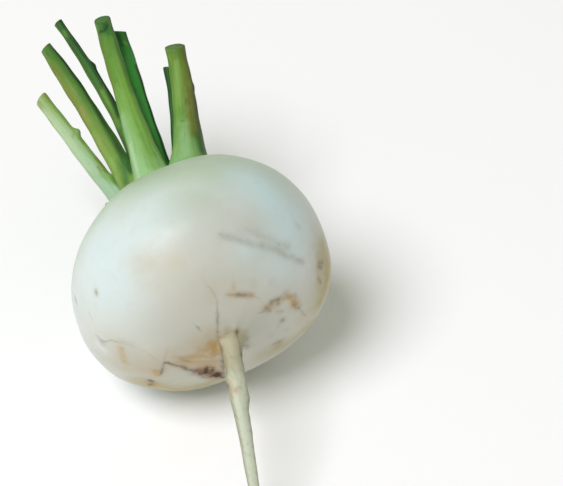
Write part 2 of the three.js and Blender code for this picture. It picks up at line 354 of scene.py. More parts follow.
def taprootRings(footHeight):
    # sections that stand square to the taproot's line, and turn to it from the globe's axis
    shares = np.linspace(0, 1, taproot["rows"] + 1)[1:]
    line, length = curveThrough(taproot["line"], shares)
    ahead, _ = curveThrough(taproot["line"], np.clip(shares + 1e-3, 0, 1))
    behind, _ = curveThrough(taproot["line"], np.clip(shares - 1e-3, 0, 1))
    walked = shares * length
    turned = smoothStep(walked, 0, taproot["turn"])[:, None]
    tangent = unit(np.array([0, -1, 0]) * (1 - turned) + unit(ahead - behind) * turned)
    side = unit(np.array([1, 0, 0]) - tangent * tangent[:, :1])
    rise = np.cross(tangent, side)

    # the radii, smoothed, with a flare at the foot that dies away and a narrow tip
    margin = taproot["margin"]
    at, radii = zip(*taproot["radii"])
    fineAt = np.linspace(-margin, length + margin, 800)
    soft = bell(np.linspace(-margin, margin, 101), taproot["smoothing"])
    smoothed = np.convolve(np.interp(fineAt, at, radii), soft / soft.sum(), "same")
    flare = taproot["flare"] * np.exp(-walked / taproot["flareLength"])
    thick = np.interp(walked, fineAt, smoothed) + flare
    thick[-1] *= taproot["tipShare"]
    straight = circle[None] * thick[:, None, None]
    straight[..., 1] = (footHeight - walked)[:, None]
    swollen = swelling(unit(straight)) * np.exp(-walked)[:, None]

    # two slow twisting waves and one quick one that comes and goes, and then the knots
    along, thick = walked[:, None], thick[:, None]
    gnarl = sum(height * np.sin(count * turn + along * pace + start)
                for height, count, pace, start in taproot["gnarls"])
    gnarl = gnarl + 0.016 * np.sin(along * 2.1 + 2 * np.sin(turn)) * np.sin(along * 0.31) ** 2
    section = 1 + gnarl * smoothStep(along, 0, taproot["gnarledFrom"])
    for at, facing, height, halfLength in taproot["knots"]:
        towards = np.maximum(np.cos(turn - math.radians(facing)), 0) ** 2
        section = section + height / thick * bell(along - at, halfLength) * towards
    section = section * thick
    return (line[:, None] + np.array([0, footHeight - taproot["line"][0][1], 0])
            + side[:, None] * (section * circle[:, 0])[..., None]
            + rise[:, None] * (section * circle[:, 2])[..., None]
            - np.array([0, 1, 0]) * swollen[..., None]), walked


def flatten(rings):
    # points below the surface are lifted straight up onto it
    below = np.minimum(layDown(rings)[..., 2] / mm, 0)
    return rings - below[..., None] * np.array([0, sinRaise, cosRaise])


shell, shellWalked, footHeight = globeRings()
whip, whipWalked = taprootRings(footHeight)
rootShape = flatten(np.concatenate([shell, whip]))
rootWalked = np.concatenate([shellWalked, whipWalked])
lastMiddles = rootShape[-2:].mean(1)
rootPoles = (rootShape[0].mean(0) + np.array([0, globe["crownRise"], 0]),
             lastMiddles[1] + unit(lastMiddles[1] - lastMiddles[0]) * taproot["tipLength"])
rootPoints = withPoles(rootShape, rootPoles)
print("root worked out:", len(rootPoints), "points")


# marks on the skin, each along a path of photo pixels as x, y, x, y; a ray through each finds its
# place. lineA and lineB are fine lines, in two sets so that lines that run close keep their own
# distances: path, half width in mm, darkness, and warmth from 0 grey to 1 brown. The others are
# soft: path, reach in mm and strength. The broad green marks are a tone of the skin; the broad
# dull marks are painted shade, the bright ones painted highlight and the cool ones painted
# bluish reflection
marks = {
    "lineA": [
        ((222, 235, 230, 237.5, 240, 240, 250, 243.5, 262, 246, 272, 248, 280, 251.5, 284, 254.5,
          292, 257.5, 303, 262.5), 1, 0.13, 0.4),
        ((96, 335, 101.5, 341, 106, 341.5, 112, 340, 118, 342.5), 0.3, 0.3, 0.6),
        ((118, 342.5, 128, 345, 136, 347.5, 146, 352, 154, 358, 163, 363), 0.25, 0.09, 0.5),
        ((163, 363, 168, 363, 173.4, 364.5, 178, 366, 183, 367, 188, 369.5, 196, 370.3, 200, 371),
          0.55, 0.75, 0.8), ((196, 326, 201, 331), 0.32, 0.4, 0.3),
        ((203, 278, 208.4, 286, 212.9, 292.4, 217.3, 299.5), 0.3, 0.15, 0.3),
        ((217.3, 299.5, 217, 306.6), 0.35, 0.2, 0.4),
        ((217.2, 308, 217.8, 315.6, 217.8, 333), 0.4, 0.5, 0.4),
        ((228, 295, 238, 294.5, 245, 294.6, 250.4, 295.5, 257.5, 298), 0.5, 0.16, 0.8),
        ((89, 312, 92, 319), 0.3, 0.2, 0.9), ((259, 313, 266, 310.5), 0.35, 0.3, 0.5),
        ((300, 310, 305, 316), 0.35, 0.3, 0.5),
        ((236.3, 332, 238.5, 338, 240.3, 346, 241.2, 356), 0.4, 0.4, 0.3)],
    "lineB": [
        ((246.5, 229, 260, 236, 270, 239, 279, 244), 0.6, 0.08, 0.3),
        ((164, 364, 162.5, 369, 160.5, 374), 0.45, 0.7, 0.7),
        ((168, 349, 165.5, 356, 164, 362), 0.4, 0.14, 0.5),
        ((219.5, 344, 222, 354, 223.5, 362, 223.7, 370), 0.65, 0.8, 0.5),
        ((178, 357, 184, 360, 192, 362), 0.4, 0.25, 0.6), ((228, 358, 233, 357, 240, 356), 0.3, 0.25, 0.5)],
    "gold": [
        ((212, 344, 215.5, 348, 213, 356), 2.6, 0.95), ((190, 357, 202, 356, 215, 356), 1.9, 0.75),
        ((206, 345, 203, 353), 2.6, 0.5), ((219, 333, 217, 341), 1.9, 0.5),
        ((204, 351, 214, 348), 3.6, 0.75), ((184, 361, 200, 361, 216, 362), 2.6, 0.5),
        ((200, 370, 212, 371.5, 221, 374), 2.6, 0.6), ((266, 308, 276, 302, 284, 298), 1.7, 0.6),
        ((286, 294, 293, 299, 298, 307), 1.6, 0.6), ((95.6, 291.4, 96.4, 293), 0.9, 0.5),
        ((121, 349, 124, 361), 1.6, 0.6), ((124, 359, 124.6, 360), 1, 0.6),
        ((156, 371, 158, 375), 1.5, 0.8), ((149, 386, 158, 384), 1.4, 0.7),
        ((288, 297, 291, 297), 1.4, 0.9), ((293, 301, 296, 304), 1.6, 0.9),
        ((233.5, 285, 234, 291), 1.1, 0.45), ((229, 294, 238, 294.5, 252, 295.5), 1.3, 0.6),
        ((327, 250, 330, 268, 328, 284), 5, 0.35), ((226, 331, 239, 331), 1.8, 0.4)],
    "yellow": [
        ((324, 254, 327, 268, 326, 284, 322, 298), 6, 0.95), ((264, 355, 290, 342, 312, 322), 5, 0.6),
        ((150, 384, 178, 389, 206, 385), 7, 0.8)],
    "umber": [
        ((206.8, 368, 205.4, 373), 1.2, 0.9), ((200, 373.5, 204, 376.5), 1.3, 0.6),
        ((212.4, 368, 212.8, 373), 1, 0.75), ((208, 377, 213, 377), 1, 0.65),
        ((216.2, 374.4, 218, 376), 1.5, 1.3), ((221, 376.5, 225, 378), 0.9, 0.6),
        ((150, 380.4, 152.4, 381.4), 0.9, 0.75), ((149.6, 385, 151.6, 385), 0.8, 0.6),
        ((236.4, 329.5, 236.8, 333), 0.8, 0.6), ((241.4, 355, 242, 356.4), 0.7, 0.7),
        # the last mark on the next line, down the corner where the taproot meets the globe, is painted
        # shade
        ((199, 371.5, 210, 373, 221, 375.5), 2, 0.38), ((225, 378, 228.6, 386), 0.9, 0.6)],
    "rust": [
        ((199, 371, 208, 372.5, 218, 375), 2.6, 1), ((204, 377, 220, 378), 1.6, 0.5),
        ((150, 381, 151.6, 384), 1.6, 0.7), ((206, 366, 212, 367), 1.4, 0.4)],
    "smear": [
        ((222, 235, 235, 238, 250, 243.5, 272, 248), 1.4, 0.32),
        ((262, 245, 276, 249, 286, 255), 1.6, 0.38), ((284, 254, 296, 259, 303, 262), 1.1, 0.3),
        ((240, 234, 257, 233), 2.4, 0.2), ((262, 250, 280, 252), 2.2, 0.2),
        ((258, 236, 276, 241), 1.4, 0.22), ((278, 245, 288, 247), 1.6, 0.45),
        ((296, 224, 299, 227), 1.2, 0.25), ((238, 294.6, 250, 294.8), 1.1, 0.65),
        ((271, 302, 279, 299), 1.3, 0.7), ((279, 301, 278.4, 304), 1, 0.6),
        ((266, 308, 269.5, 311), 1.2, 0.7), ((277, 311, 282, 312), 0.9, 0.45),
        ((281.6, 319.6, 283, 321), 1.2, 0.6), ((279, 324, 278.6, 327), 0.8, 0.35),
        ((294.5, 295, 295, 297), 0.9, 0.6), ((294, 305, 299, 308), 1.2, 0.6),
        ((284.6, 294, 285, 297), 1.2, 0.35), ((285, 330, 288, 330), 0.8, 0.25),
        ((271, 334, 270.4, 337), 0.8, 0.25), ((275, 343.5, 281.5, 341), 1.5, 0.65),
        ((282, 341, 278, 347), 1.2, 0.45), ((246, 340, 246.6, 347), 1.8, 0.45),
        ((318.6, 262, 322.6, 263), 1, 0.85), ((318.2, 266, 321.6, 267.4), 1.1, 0.8),
        ((318, 278, 320.8, 283), 1, 0.65), ((101, 341, 104, 341.8), 0.9, 0.5),
        ((229.4, 391, 235, 390, 239, 387), 0.7, 0.45), ((176, 357, 186, 358), 1.4, 0.35),
        ((75, 297, 76.6, 303), 0.9, 0.6), ((96, 291.4, 96.6, 293), 0.9, 0.7),
        ((201, 372, 212, 373.5, 224, 376), 2.6, 0.6), ((183, 369, 198, 371), 1, 0.4),
        ((271, 281, 271.6, 284), 1.2, 0.2), ((253.6, 281, 254, 287), 1.3, 0.2),
        ((120, 341, 132, 344), 1.2, 0.25)],
    "pink": [
        ((150, 384, 176, 390, 202, 385), 5, 0.45), ((182, 362, 200, 364, 218, 365), 4, 1),
        ((122, 366, 150, 370, 175, 356), 5, 0.5), ((205, 362, 221, 364), 2, 0.7),
        ((196, 342, 206, 336), 4, 0.5), ((276.6, 345, 278, 347), 1.8, 0.9), ((104, 345, 101, 344), 1, 0.5),
        ((230.5, 383, 231.4, 392, 237, 390), 1.5, 0.75), ((224.6, 359, 226, 366), 0.9, 0.4),
        ((138, 379, 150, 377), 1.8, 0.4), ((270, 306, 277, 306), 1.4, 0.35),
        ((291, 308, 296, 300), 1.6, 0.35), ((318, 255, 317, 290), 2, 0.35), ((210, 300, 214, 292), 3, 0.25),
        ((300, 318, 309, 327), 3, 0.25)],
    "beige": [
        ((146, 262, 160, 265, 175, 262), 5.2, 0.75), ((150, 280, 176, 274), 4.5, 0.45),
        ((125, 352, 150, 366, 180, 352, 200, 345), 6, 0.6), ((240, 268, 256, 262), 3.5, 0.35),
        ((216, 284, 240, 282), 4, 0.35), ((96, 352, 108, 364), 5, 0.25),
        ((317, 248, 321, 264, 316, 300), 8, 0.5), ((190, 300, 230, 320), 9, 0.35)],
    "green": [
        ((120, 185, 160, 163, 210, 158, 262, 175), 13, 0.6), ((140, 182, 168, 172, 205, 170), 12, 0.7),
        ((180, 200, 196, 196), 9, 0.5), ((98, 216, 122, 192), 5, 0.6)],
    # broad painted shade, then painted highlight, then painted bluish reflection
    "dull": [
        ((200, 225, 235, 225), 14, 0.45), ((205, 290, 185, 330), 12, 0.4), ((250, 325, 275, 350), 9, 0.5),
        ((140, 365, 175, 378), 9, 0.4), ((150, 387, 176, 392, 204, 386), 7, 0.9),
        ((184, 365, 205, 365, 220, 364), 4, 0.7)],
    "bright": [
        ((110, 240, 104, 290), 14, 0.2), ((284, 190, 303, 225, 308, 258), 9, 0.7),
        ((99, 345, 104, 350), 1.6, 0.7)],
    "cool": [
        ((258, 185, 280, 205, 290, 235), 10, 0.9), ((100, 250, 112, 285), 12, 0.5),
        ((250, 252, 285, 268), 6, 0.6), ((150, 215, 130, 240), 10, 0.4), ((170, 386, 205, 385), 4, 0.5)],
    # the attributes that carry the soft marks; how far a fine line reaches, over how long it
    # narrows to its ends, and its share of width there
    "sets": {"marksWarm": ("gold", "umber", "smear"), "marksPale": ("pink", "beige", "cool"),
             "marksBroad": ("green", "dull", "bright"), "marksTwo": ("yellow", "rust")},
    "linesReach": 2.2, "lineTaper": 1.5, "lineTip": 0.45,
}


def throughPixel(tree, pixel):
    # the first point of a surface, in growth millimetres, on the ray through a pixel of the photo
    way = (-cameraBack * shot["focalPixels"] + cameraRight * (pixel[0] - shot["size"][0] / 2)
           - cameraUp * (pixel[1] - shot["size"][1] / 2))
    hit = tree.ray_cast(Vector(cameraPlace), Vector(unit(way)))[0]
    if hit is None:
        return None
    x, y, z = np.array(hit) / mm - globeMiddle
    return np.array([x, y * cosRaise + z * sinRaise, z * cosRaise - y * sinRaise])


def surfaceTree(points, rings):
    return BVHTree.FromPolygons(layDown(points).tolist(), gridFaces(rings).tolist())


def placed(tree, rows):
    # each row's path as places on a surface, with what the row says of it
    for pixels, *rest in rows:
        path = [throughPixel(tree, pixel) for pixel in np.reshape(pixels, (-1, 2))]
        path = [place for place in path if place is not None]
        if len(path) > 1:
            yield path, rest


def nearPath(points, path):
    # signed distance from a polyline, positive on its left, how far along it, and its length
    best = np.full(len(points), np.inf)
    signed = np.zeros(len(points))
    along = np.zeros(len(points))
    walked = 0
    for start, end in zip(path, path[1:]):
        way = end - start
        length = max(np.linalg.norm(way), 1e-6)
        share = np.clip((points - start) @ way / length ** 2, 0, 1)
        off = points - start - share[:, None] * way
        distance = np.linalg.norm(off, axis=1)
        left = np.sign((off * np.cross(way, start)).sum(1))
        closer = distance < best
        best = np.where(closer, distance, best)
        signed = np.where(closer, distance * left, signed)
        along = np.where(closer, walked + share * length, along)
        walked += length
    return signed, along, walked


def lineAttributes(points, rows):
    # the nearest fine line's distance, place along it and half width, and its darkness, warmth
    # and nearness
    reach, tip = marks["linesReach"], marks["lineTip"]
    line = np.zeros((len(points), 3))
    tone = np.zeros((len(points), 3))
    line[:, 0] = reach
    nearest = np.full(len(points), reach)
    for path, (halfWidth, dark, warm) in placed(rootTree, rows):
        signed, along, length = nearPath(points, path)
        away = np.abs(signed)
        ends = np.clip(np.minimum(along, length - along) / marks["lineTaper"], 0, 1)
        closer = away < nearest
        nearest = np.where(closer, away, nearest)
        fade = 1 - smoothStep(away, 0.5 * reach, reach)
        line[closer] = np.stack([signed, along, halfWidth * (tip + (1 - tip) * ends)], -1)[closer]
        tone[closer] = np.stack([dark * fade, np.full_like(fade, warm), fade], -1)[closer]
    return line, tone


def softStrength(points, rows):
    # the strongest soft mark at each point, each a bell across its path
    total = np.zeros(len(points))
    for path, (reach, strength) in placed(rootTree, rows):
        total = np.maximum(total, strength * bell(nearPath(points, path)[0], reach))
    return total


rootTree = surfaceTree(rootPoints, rootShape)
rootAttributes = {"growth": rootPoints}
for family in ("lineA", "lineB"):
    rootAttributes[family], rootAttributes[family + "Tone"] = lineAttributes(rootPoints, marks[family])
for name, kinds in marks["sets"].items():
    carried = np.zeros((len(rootPoints), 3))
    for column, kind in enumerate(kinds):
        carried[:, column] = softStrength(rootPoints, marks[kind])
    rootAttributes[name] = carried
run = np.zeros((*rootShape.shape[:2], 3))
run[..., 0] = rootWalked[:, None]
run[..., 1] = circle[:, 0]
rootAttributes["rootRun"] = withPoles(run)
print("marks placed")

# the low and dull tones are painted shade, the bright and cool ones painted highlight and bluish reflection
skinTones = tints({
    "white": (213, 221, 215), "crownGreen": (170, 193, 158), "low": (199, 196, 182),
    "dull": (178, 180, 168), "bright": (221, 227, 227), "cool": (204, 227, 229), "beige": (191, 186, 162),
    "pink": (190, 166, 132), "gold": (180, 142, 62), "yellow": (170, 152, 74), "rust": (128, 80, 14),
    "umber": (66, 36, 0), "smear": (130, 118, 94), "lineGrey": (134, 128, 112), "lineBrown": (96, 70, 44),
    "rootTop": (174, 170, 142), "rootPale": (195, 202, 179), "rootStreakAndShade": (134, 134, 104),
})


def skinMaterial():
    f = Finish("turnip_skin_white")
    growth, (_, height, _) = f.attribute("growth")
    _, (walked, side, _) = f.attribute("rootRun")
    soft = {}
    for name, kinds in marks["sets"].items():
        soft.update(zip(kinds, f.attribute(name)[1]))
    cloud = f.noise(growth, 0.06, 4)
    blotch = f.noise(growth, 0.28, 4, 0.6)
    dapple = f.noise(growth, 0.6, 3, 0.5)
    grain = f.noise(growth, 1.3, 5, 0.65)
    fine = f.noise(growth, 4, 3, 0.6)

    # the white skin greens towards the crown, is faintly clouded, and is darker and warmer towards
    # the taproot, which is painted shade; broad marks then lay on green, painted shade, painted
    # highlight and painted reflection
    crown = (height + 8 * (cloud - 0.5)).ramp(2, 30)
    low = (12 * (cloud - 0.5) - height).ramp(-4, 26)
    clouded = 0.6 + 0.8 * cloud
    colour = f.layered(
        skinTones["white"], skinTones, (crown * 0.9, "crownGreen"), (low * 0.75, "low"),
        (soft["bright"] * clouded, "bright"), (soft["green"] * clouded, "crownGreen"),
        (soft["dull"] * clouded, "dull"), (soft["cool"] * clouded * 0.8, "cool"),
        (blotch.ramp(0.45, 0.75) * 0.12, "beige"))

    # the taproot is dull at its top and paler further on, with painted shade down its two sides and
    # lengthwise streaks in the same darker tone
    streaks = f.noise(f.scaled(growth, 1.3, 0.16, 1.3), 1, 3, 0.5)
    # painted shade: darker where the taproot turns to its left and right sides
    edge = (abs(side) + 0.5 * (streaks - 0.5)).ramp(0.6, 1) * walked.ramp(1, 7)
    rootTone = f.layered(
        skinTones["rootTop"], skinTones, ((walked + 6 * (dapple - 0.5)).ramp(9, 17), "rootPale"),
        (edge * 0.7, "rootStreakAndShade"), (streaks.ramp(0.5, 0.75) * 0.3, "rootStreakAndShade"))
    root = (walked + 3 * (dapple - 0.5)).ramp(-2.2, 1.2) * (0 - height).ramp(0, 5)
    colour = f.blend(root, colour, rootTone)

    # soft marks, the wide ones clouded and the small ones ragged
    rough = (grain - 0.5) * 0.8 + (dapple - 0.5) * 1.5

    def ragged(kind, share, raggedness):
        spots = (soft[kind] + rough).ramp(0.3, 0.9) * soft[kind].ramp(0.05, 0.35)
        return (soft[kind] * (1 - raggedness) + spots * raggedness) * share

    # the umber marks: the scab's dark crust, and painted shade in the corner where the taproot meets the
    # globe
    crustAndShade = ragged("umber", 1, 0.45)
    colour = f.layered(
        colour, skinTones, (soft["beige"] * (0.3 + blotch) * 0.8, "beige"),
        (soft["pink"] * (0.3 + blotch) * 0.9, "pink"),
        (soft["yellow"] * (0.1 + 0.9 * blotch + 0.8 * cloud) * 0.8, "yellow"),
        (ragged("gold", 0.85, 0.3), "gold"), (ragged("smear", 0.85, 0.4), "smear"),
        (ragged("rust", 0.85, 0.4), "rust"), (crustAndShade, "umber"))

    # fine lines: an offset that wavers, across a width that comes and goes
    comesAndGoes = f.noise(growth, 0.45, 3, 0.6)
    carved = 0
    for family in ("lineA", "lineB"):
        _, (offset, _, halfWidth) = f.attribute(family)
        _, (dark, warm, near) = f.attribute(family + "Tone")
        reach = halfWidth * (0.2 + 1.6 * comesAndGoes)
        off = abs(offset + (dapple - 0.5) * 1.3 + (fine - 0.5) * 0.25)
        inLine = (1 - (off / reach).ramp(0, 1.7)) * near.ramp(0.1, 0.6)
        halo = (1 - (off / reach).ramp(0.3, 4)) * near.ramp(0.1, 0.6)
        lineTone = f.blend(warm, skinTones["lineGrey"], skinTones["lineBrown"])
        colour = f.blend(halo * dark * 0.4, colour, skinTones["smear"])
        colour = f.blend(inLine * dark * comesAndGoes.ramp(0.25, 0.6), colour, lineTone)
        carved = carved + inLine * dark

    # faint pores and low relief
    pores = 1 - f.cells(growth, 0.5).ramp(0.02, 0.1)
    colour = f.blend(pores * 0.06 * (1 - root), colour, skinTones["smear"])
    wavy = f.bump(cloud, 1 * mm, 0.25)
    skinned = f.bump(grain + 0.4 * fine, 0.08 * mm, 0.25, wavy)
    return f.close({
        "Base Color": colour,
        "Roughness": 0.38 + 0.12 * blotch + 0.3 * crustAndShade + 0.12 * root,
        "Normal": f.bump(crustAndShade * 0.8 + soft["smear"] * 0.2 - carved, 0.25 * mm, 0.6, skinned),
        "Subsurface Weight": 0.12,
        "Subsurface Radius": (1, 0.9, 0.7),
        "Subsurface Scale": 0.003,
        "Specular IOR Level": 0.4,
    })


root = tubeObject("turnip_globe_and_taproot", rootShape, rootPoles, rootAttributes, skinMaterial())
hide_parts("turnip_root")
print("root made")

# the leaf stalks: foot, pull and tip of each bowed line, widths at the same three, how far the cut
# end slopes and towards which side, knuckles as share along, side and height, the tones from foot
# to tip, and a darker side of painted shade as where it faces, its strength, where it starts and its tone
stalkTones = tints({
    "mint": (176, 212, 178), "pale": (200, 226, 194), "fresh": (126, 172, 72), "leaf": (104, 148, 58),
    # on these two lines, the darkest green and the dark brown are painted shade tones
    "deep": (54, 112, 52), "night": (30, 70, 32), "sage": (150, 188, 104), "teal": (60, 118, 72),
    "olive": (130, 132, 54), "tan": (158, 150, 88), "brown": (104, 84, 40), "bark": (78, 76, 14),
    "rose": (172, 150, 104), "ash": (150, 152, 116), "streakDeep": (168, 196, 150),
    "streakPale": (206, 222, 160), "pithDeep": (84, 124, 58), "pithPale": (120, 154, 84),
    "bundle": (100, 128, 66), "cutRim": (62, 84, 38),
})
stalks = {
    1: {"line": [(-4.2, 31, 10.4), (-3.6, 63.5, 19.3), (0.4, 98.6, 24.8)], "width": (11, 5.5, 5.8),
        "cut": (54, 82), "tones": [(168, 208, 164), (138, 184, 104), (112, 156, 68), (76, 128, 58)],
        "shade": ((0.96, 0, 0.28), 0.5, 0.5, "fresh")},
    2: {"line": [(7.1, 31, 9.4), (15.8, 55.5, 15.7), (20.6, 83, 19.7)], "width": (14.4, 6.6, 7.6),
        "cut": (46, 128), "knuckles": [(0.68, 42, 0.4)],
        "tones": [(150, 196, 136), (124, 166, 90), (114, 150, 68), (100, 138, 58)],
        "shade": ((1, 0, -0.1), 0.97, 0.84, "bark")},
    3: {"line": [(-9.4, 31, 5.9), (-12.6, 65.5, 13), (-19.8, 99, 17.5)], "width": (7, 8.7, 4.8),
        "cut": (20, 90), "tones": [(136, 166, 84), (132, 162, 76), (116, 150, 60), (88, 132, 54)],
        "shade": ((1, 0, 0.1), 0.7, 0.2, "deep")},
    4: {"line": [(-11.2, 31, -1.2), (-18.3, 58.5, 3.5), (-26, 85.2, 8.5)], "width": (6.1, 8.2, 5.6),
        "cut": (15, 90), "knuckles": [(0.67, -65, 1.5), (0.3, -60, 0.8)],
        "tones": [(166, 200, 178), (176, 204, 182), (182, 204, 174), (174, 194, 146)],
        "shade": ((1, 0, 0.1), 0.5, 0.35, "fresh")},
    5: {"line": [(1.1, 34, 2.7), (3.8, 67.5, 8.7), (6.5, 100, 15.5)], "width": (6.5, 6.2, 5.2),
        "cut": (35, 90), "tones": [(94, 172, 90), (90, 190, 92), (80, 180, 84), (56, 122, 56)],
        "shade": ((1, 0, 0), 0.9, 0.85, "night")},
    6: {"line": [(-3.4, 34, 2.3), (-4.1, 69, 13.5), (-13.2, 105.3, 21.5)], "width": (6.9, 3.6, 3.2),
        "cut": (10, 90), "knuckles": [(0.72, -38, 0.7)],
        "tones": [(102, 148, 64), (88, 134, 56), (72, 118, 48), (48, 96, 42)],
        "shade": ((1, 0, 0.2), 0.85, 0.3, "night")},
    7: {"line": [(4, 34, 2.6), (13.2, 56.5, 7.8), (17, 80, 13)], "width": (6, 4.4, 3.3), "cut": (12, 90),
        "tones": [(74, 130, 56), (52, 120, 42), (46, 108, 38), (54, 104, 38)],
        "shade": ((-1, 0, 0), 0.6, 0.5, "night")},
    8: {"line": [(11, 31, -3), (16.5, 45, -7), (20.5, 57, -12)], "width": (8, 7, 6.4), "cut": (25, 90),
        "tones": [(160, 198, 146), (136, 178, 104), (112, 156, 74), (92, 140, 64)],
        "shade": ((0, 0, 1), 0.5, 0.3, "leaf")},
    9: {"line": [(3, 31, -11), (4, 47, -17), (5, 63, -26)], "width": (8.6, 7.2, 6.6), "cut": (20, 90),
        "tones": [(166, 202, 152), (146, 188, 120), (116, 162, 82), (92, 144, 64)],
        "shade": ((1, 0, 0), 0.5, 0.3, "leaf")},
    10: {"line": [(-6, 31, -9), (-9, 45, -14), (-12, 56, -22)], "width": (6.4, 6.2, 5.4), "cut": (18, 90),
        "tones": [(162, 202, 154), (146, 190, 126), (118, 166, 88), (98, 148, 70)],
        "shade": ((-1, 0, 0), 0.5, 0.3, "olive")},
}
# strokes of tone that the photo shows: path of photo pixels, reach in mm, strength and tone
# the darkest green strokes down the stalks' shaded edges and round stalk 1's cut end, the dark brown band
# down stalk 2's right side and the deep green strokes down stalk 3's right side are painted shade
strokes = {
    1: [((100, 34, 106, 60, 114, 90), 0.9, 0.5, "olive"), ((105, 36, 109, 60, 116, 82), 1.2, 0.6, "leaf"),
        ((112, 60, 120, 90, 126, 112), 1, 0.45, "fresh"),
        ((122, 118, 129, 140, 136, 168), 1.6, 0.65, "mint"),
        ((112.4, 28, 117, 44, 125, 68, 132, 92), 1.1, 0.6, "deep"),
        ((115, 36, 121, 56, 126, 72), 0.8, 0.5, "teal"), ((130, 145, 134, 160, 139, 178), 0.8, 0.7, "pale"),
        ((124, 80, 132, 105, 141, 128, 152, 155), 1.5, 0.65, "fresh"),
        ((134, 92, 142, 112, 152, 138), 0.6, 0.5, "leaf"), ((144, 150, 154, 168), 1.6, 0.5, "fresh"),
        ((140, 135, 158, 166), 1, 0.4, "leaf"), ((99, 18, 104, 18, 108, 18), 2.2, 1, "deep"),
        ((103, 18, 103, 28), 2.6, 0.55, "deep"), ((97, 21, 98, 29), 0.9, 0.6, "leaf"),
        ((107, 26, 109, 34), 1, 0.6, "teal"), ((109.6, 19, 112, 26, 114, 32), 0.6, 0.8, "night"),
        ((102, 22, 104, 25, 103, 28), 0.4, 0.5, "night"),
        ((106, 21, 107, 27, 104, 31, 100, 32), 0.6, 0.9, "night")],
    2: [((176, 62, 177, 80, 179, 104), 1.1, 0.6, "sage"), ((168, 50, 172, 60), 1.3, 0.4, "fresh"),
        ((177, 100, 177, 130, 178, 150), 1.1, 0.5, "fresh"), ((184, 60, 188, 80), 1.2, 0.4, "leaf"),
        ((184, 132, 185, 155), 2.2, 0.4, "mint"),
        ((184, 50, 187, 76, 189.6, 105, 193, 134), 1.6, 0.7, "olive"),
        ((184.8, 46, 189.4, 66, 193.7, 90, 197.8, 120, 203.2, 150), 1.5, 0.95, "bark"),
        ((186.4, 45, 191, 66, 195.4, 92, 200.4, 122, 207, 153), 1.1, 0.9, "night"),
        ((198, 136, 203, 153), 2, 0.8, "deep"), ((190, 90, 192, 112, 195, 132), 1, 0.4, "brown"),
        ((187, 100, 188, 103), 0.8, 0.6, "brown"), ((180, 123, 186, 123), 1.3, 0.22, "mint"),
        ((181.6, 121, 183, 121), 0.5, 0.6, "deep"), ((168, 53, 174, 60), 0.5, 0.5, "olive"),
        ((166, 47, 174, 45, 184, 44), 0.5, 0.7, "deep"), ((167, 52, 175, 53, 184, 50), 0.5, 0.35, "deep")],
    3: [((42, 52, 55, 73, 70, 97, 86, 124, 104, 155, 116, 183), 0.6, 0.35, "olive"),
        ((50, 62, 58, 74), 1.6, 0.5, "olive"), ((58, 76, 66, 88), 1, 0.4, "tan"),
        ((68, 90, 88, 122), 1.6, 0.45, "tan"), ((94, 134, 112, 166), 1.2, 0.35, "sage"),
        ((44, 52, 52, 64), 1, 0.5, "leaf"), ((56, 68, 62, 76), 1, 0.5, "olive"),
        ((82, 108, 84, 112), 0.8, 0.6, "rose"), ((98, 136, 104, 146), 0.8, 0.25, "rose"),
        ((52, 56, 64, 74, 78, 94, 95, 119, 110, 143, 120, 168), 1.3, 0.45, "leaf"),
        ((50, 48, 62, 67, 77, 87, 94, 112, 109, 132, 121, 152, 128, 168), 1.7, 0.42, "deep"),
        ((52, 46, 60, 56, 72, 73, 86, 92, 101, 112, 115, 131, 126, 150, 131, 172), 0.85, 0.95, "night"),
        ((112, 160, 119, 184), 1.1, 0.4, "sage"), ((124, 160, 126, 182), 1.6, 0.8, "deep")],
    4: [((38, 103, 52, 124, 66, 144, 82, 166), 1.1, 0.5, "ash"),
        ((44, 96, 56, 110, 70, 126, 82, 142, 98, 162, 114, 182), 1.2, 0.8, "fresh"),
        ((46, 93, 60, 110, 72, 124, 84, 140, 96, 158, 108, 172), 0.6, 0.75, "olive"),
        ((44, 95, 50, 101), 1, 0.5, "tan"), ((77, 128, 80, 134), 0.9, 0.6, "tan"),
        ((80, 138, 84, 143), 0.7, 0.5, "olive"), ((74, 132, 73, 137), 0.5, 0.4, "olive"),
        ((98, 167, 101, 171, 107, 171), 0.45, 0.7, "olive"), ((99, 165, 106, 168), 1.2, 0.4, "fresh"),
        ((102, 174, 112, 180), 1.2, 0.6, "fresh"),
        ((44, 112, 56, 126, 70, 145, 88, 170), 1.3, 0.55, "pale"), ((36, 100, 42, 94), 0.8, 0.4, "ash")],
    5: [((124, 42, 126, 43.5), 0.7, 0.8, "fresh"), ((118, 34, 122, 45), 0.8, 0.6, "night"),
        ((128, 38, 136, 66, 146, 96, 158, 132, 168, 160), 0.8, 0.9, "night"),
        ((136, 90, 146, 118, 156, 145), 1.2, 0.4, "teal"), ((152, 140, 162, 163), 1.4, 0.5, "deep")],
    6: [((56, 26, 68, 44, 80, 62, 94, 84, 108, 110), 0.8, 0.4, "leaf"),
        ((61, 21, 71, 38, 83, 54, 91, 62, 101, 80, 113, 100, 117, 116), 1, 0.95, "night"),
        ((60, 24, 74, 46, 86, 62, 98, 82), 0.8, 0.5, "deep"), ((64, 32, 66, 36), 0.8, 0.4, "fresh"),
        ((102, 92, 112, 112, 118, 126), 1, 0.6, "fresh")],
    7: [((164, 70, 168, 90, 170, 120, 171, 146), 0.5, 0.7, "night"),
        ((168, 101, 171, 103), 0.5, 0.5, "mint"), ((172, 148, 173, 158), 0.6, 0.6, "brown")],
}
